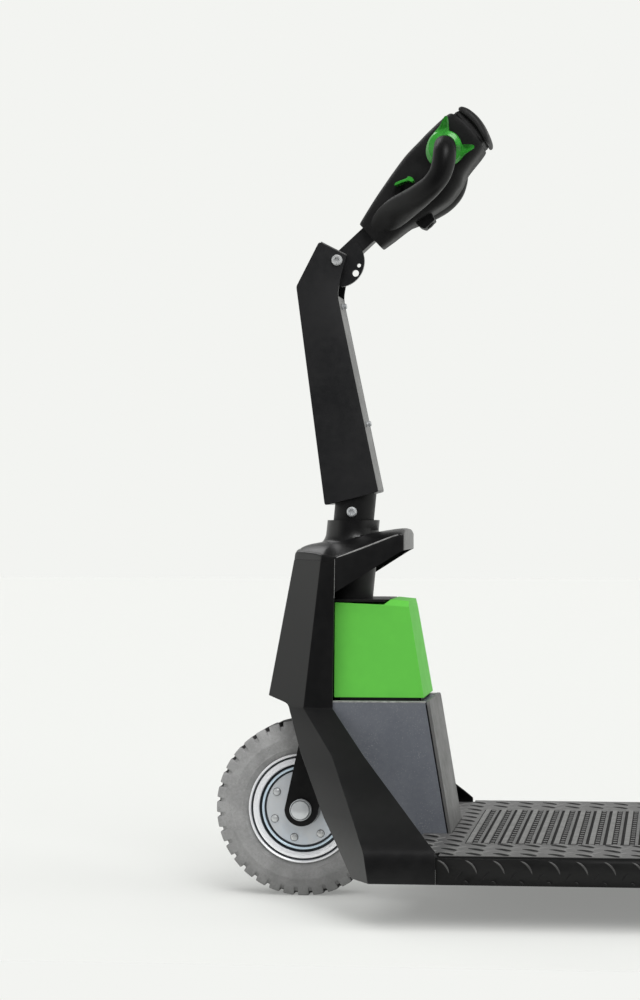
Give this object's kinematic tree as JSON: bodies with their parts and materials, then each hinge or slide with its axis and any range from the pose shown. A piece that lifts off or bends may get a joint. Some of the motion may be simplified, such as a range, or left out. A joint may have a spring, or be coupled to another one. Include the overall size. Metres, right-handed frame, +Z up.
{
  "type": "electric tow tug",
  "caption": "Stand-on electric tow tug: steered hub-motor front wheel in a fork, tiller with butterfly throttle, faceted fairing, clip-in battery, flat platform and tow peg",
  "frame": {"origin": "on the ground, in the middle of the overall length and width", "axes": "+Z up, +X from the drive wheel towards the platform and tow peg, +Y to the driver's right when the driver stands on the platform and faces the tiller"},
  "size_m": [1.1204, 0.6, 1.1666],
  "materials": {
    "tyre_grey": "moulded rubber, non-marking grey",
    "rim_zinc": "zinc plated",
    "bolt_zinc": "zinc plated",
    "axle_steel": "ground",
    "bearing_steel": "polished",
    "motor_iron": "as cast",
    "motor_copper": "enamelled copper",
    "frame_black": "satin powder coat",
    "arm_black": "fine satin powder coat",
    "arm_grey": "satin powder coat",
    "fairing_black": "fine grained",
    "hood_black": "fine grained",
    "head_black": "fine grained",
    "grip_black": "soft touch",
    "pad_grey": "soft",
    "control_green": "semi gloss",
    "battery_green": "semi matte",
    "box_grey": "speckled grain",
    "deck_black": "embossed, powder coated",
    "mat_rubber": "ribbed",
    "roller_grey": "cast polyurethane",
    "board_green": "solder mask",
    "cell_grey": "sleeved cans",
    "heatsink": "extruded",
    "plastic_black": "moulded"
  },
  "bodies": {
    "chassis": {"chassis_frame": "frame_black", "head_tube": "frame_black", "column_bearings": "bearing_steel", "fairing_left": "fairing_black", "fairing_right": "fairing_black", "hood": "hood_black", "base_box": "box_grey", "box_rear_cover": "box_grey", "battery_seat": "plastic_black", "motor_controller": "heatsink", "contactor": "plastic_black", "deck_tray": "deck_black", "deck_mat": "mat_rubber", "rear_brackets": "frame_black", "rear_axles": "axle_steel", "tow_tongue": "frame_black", "tow_peg": "axle_steel"},
    "steering": {"steerer_tube": "axle_steel", "fork_crown": "frame_black", "fork_leg_left": "frame_black", "fork_leg_right": "frame_black", "drive_axle": "axle_steel", "axle_spacers": "axle_steel", "axle_caps": "axle_steel", "motor_stator": "motor_iron", "stator_windings": "motor_copper", "tiller_sleeve": "arm_black", "tiller_bolts": "bolt_zinc", "tiller_arm": "arm_black", "arm_cover": "arm_grey", "arm_cover_screws": "bolt_zinc", "pivot_spacers": "axle_steel"},
    "drive_wheel": {"tyre": "tyre_grey", "rim_left": "rim_zinc", "rim_right": "rim_zinc", "rim_bolts": "bolt_zinc", "motor_drum": "motor_iron", "motor_magnets": "motor_iron", "wheel_bearings": "bearing_steel"},
    "tiller_head": {"neck_bar": "arm_black", "index_plate": "arm_black", "head_upper_shell": "head_black", "head_lower_shell": "head_black", "control_board": "board_green", "grip_left": "grip_black", "grip_right": "grip_black", "throttle_axle": "axle_steel", "horn_block": "head_black"},
    "throttle": {"throttle_tube": "plastic_black", "butterfly_left": "control_green", "butterfly_right": "control_green"},
    "belly_switch": {"belly_pad": "pad_grey"},
    "speed_rocker": {"rocker_left": "control_green"},
    "direction_rocker": {"rocker_right": "control_green"},
    "horn": {"horn_button": "plastic_black"},
    "battery": {"battery_case": "battery_green", "battery_base": "plastic_black", "battery_cells": "cell_grey"},
    "rear_wheel_left": {"rear_roller_left": "roller_grey"},
    "rear_wheel_right": {"rear_roller_right": "roller_grey"}
  },
  "joints": [
    {"name": "steer", "type": "hinge", "parent": "chassis", "child": "steering", "pos_m": [-0.38455, 0, 0.3], "axis": [0.0995, 0, 0.995], "range_deg": [-45, 45]},
    {"name": "drive_spin", "type": "hinge", "parent": "steering", "child": "drive_wheel", "pos_m": [-0.43025, 0, 0.13], "axis": [0, 1, 0], "continuous": true},
    {"name": "head_tilt", "type": "hinge", "parent": "steering", "child": "tiller_head", "pos_m": [-0.37925, 0, 0.9406], "axis": [0, -1, 0], "range_deg": [-40, 30]},
    {"name": "throttle_turn", "type": "hinge", "parent": "tiller_head", "child": "throttle", "pos_m": [-0.21678, 0, 1.10223], "axis": [0, 1, 0], "range_deg": [-30, 30], "stiffness_Nm_per_rad": 0.8},
    {"name": "belly_press", "type": "slide", "parent": "tiller_head", "child": "belly_switch", "axis": [-0.7361, 0, -0.6769], "range_m": [0, 0.006], "stiffness_N_per_m": 1500, "springref_m": -0.002},
    {"name": "left_rock", "type": "hinge", "parent": "tiller_head", "child": "speed_rocker", "pos_m": [-0.27696, -0.048, 1.05096], "axis": [0, 1, 0], "range_deg": [-12, 12], "stiffness_Nm_per_rad": 0.2},
    {"name": "right_rock", "type": "hinge", "parent": "tiller_head", "child": "direction_rocker", "pos_m": [-0.27696, 0.048, 1.05096], "axis": [0, 1, 0], "range_deg": [-12, 12], "stiffness_Nm_per_rad": 0.2},
    {"name": "horn_press", "type": "slide", "parent": "tiller_head", "child": "horn", "axis": [-0.6769, 0, 0.7361], "range_m": [0, 0.002], "stiffness_N_per_m": 600, "springref_m": -0.001},
    {"name": "battery_draw", "type": "slide", "parent": "chassis", "child": "battery", "axis": [0.8517, 0, 0.524], "range_m": [0, 0.2]},
    {"name": "rear_left_spin", "type": "hinge", "parent": "chassis", "child": "rear_wheel_left", "pos_m": [0.37025, -0.225, 0.042], "axis": [0, 1, 0], "continuous": true},
    {"name": "rear_right_spin", "type": "hinge", "parent": "chassis", "child": "rear_wheel_right", "pos_m": [0.37025, 0.225, 0.042], "axis": [0, 1, 0], "continuous": true}
  ]
}
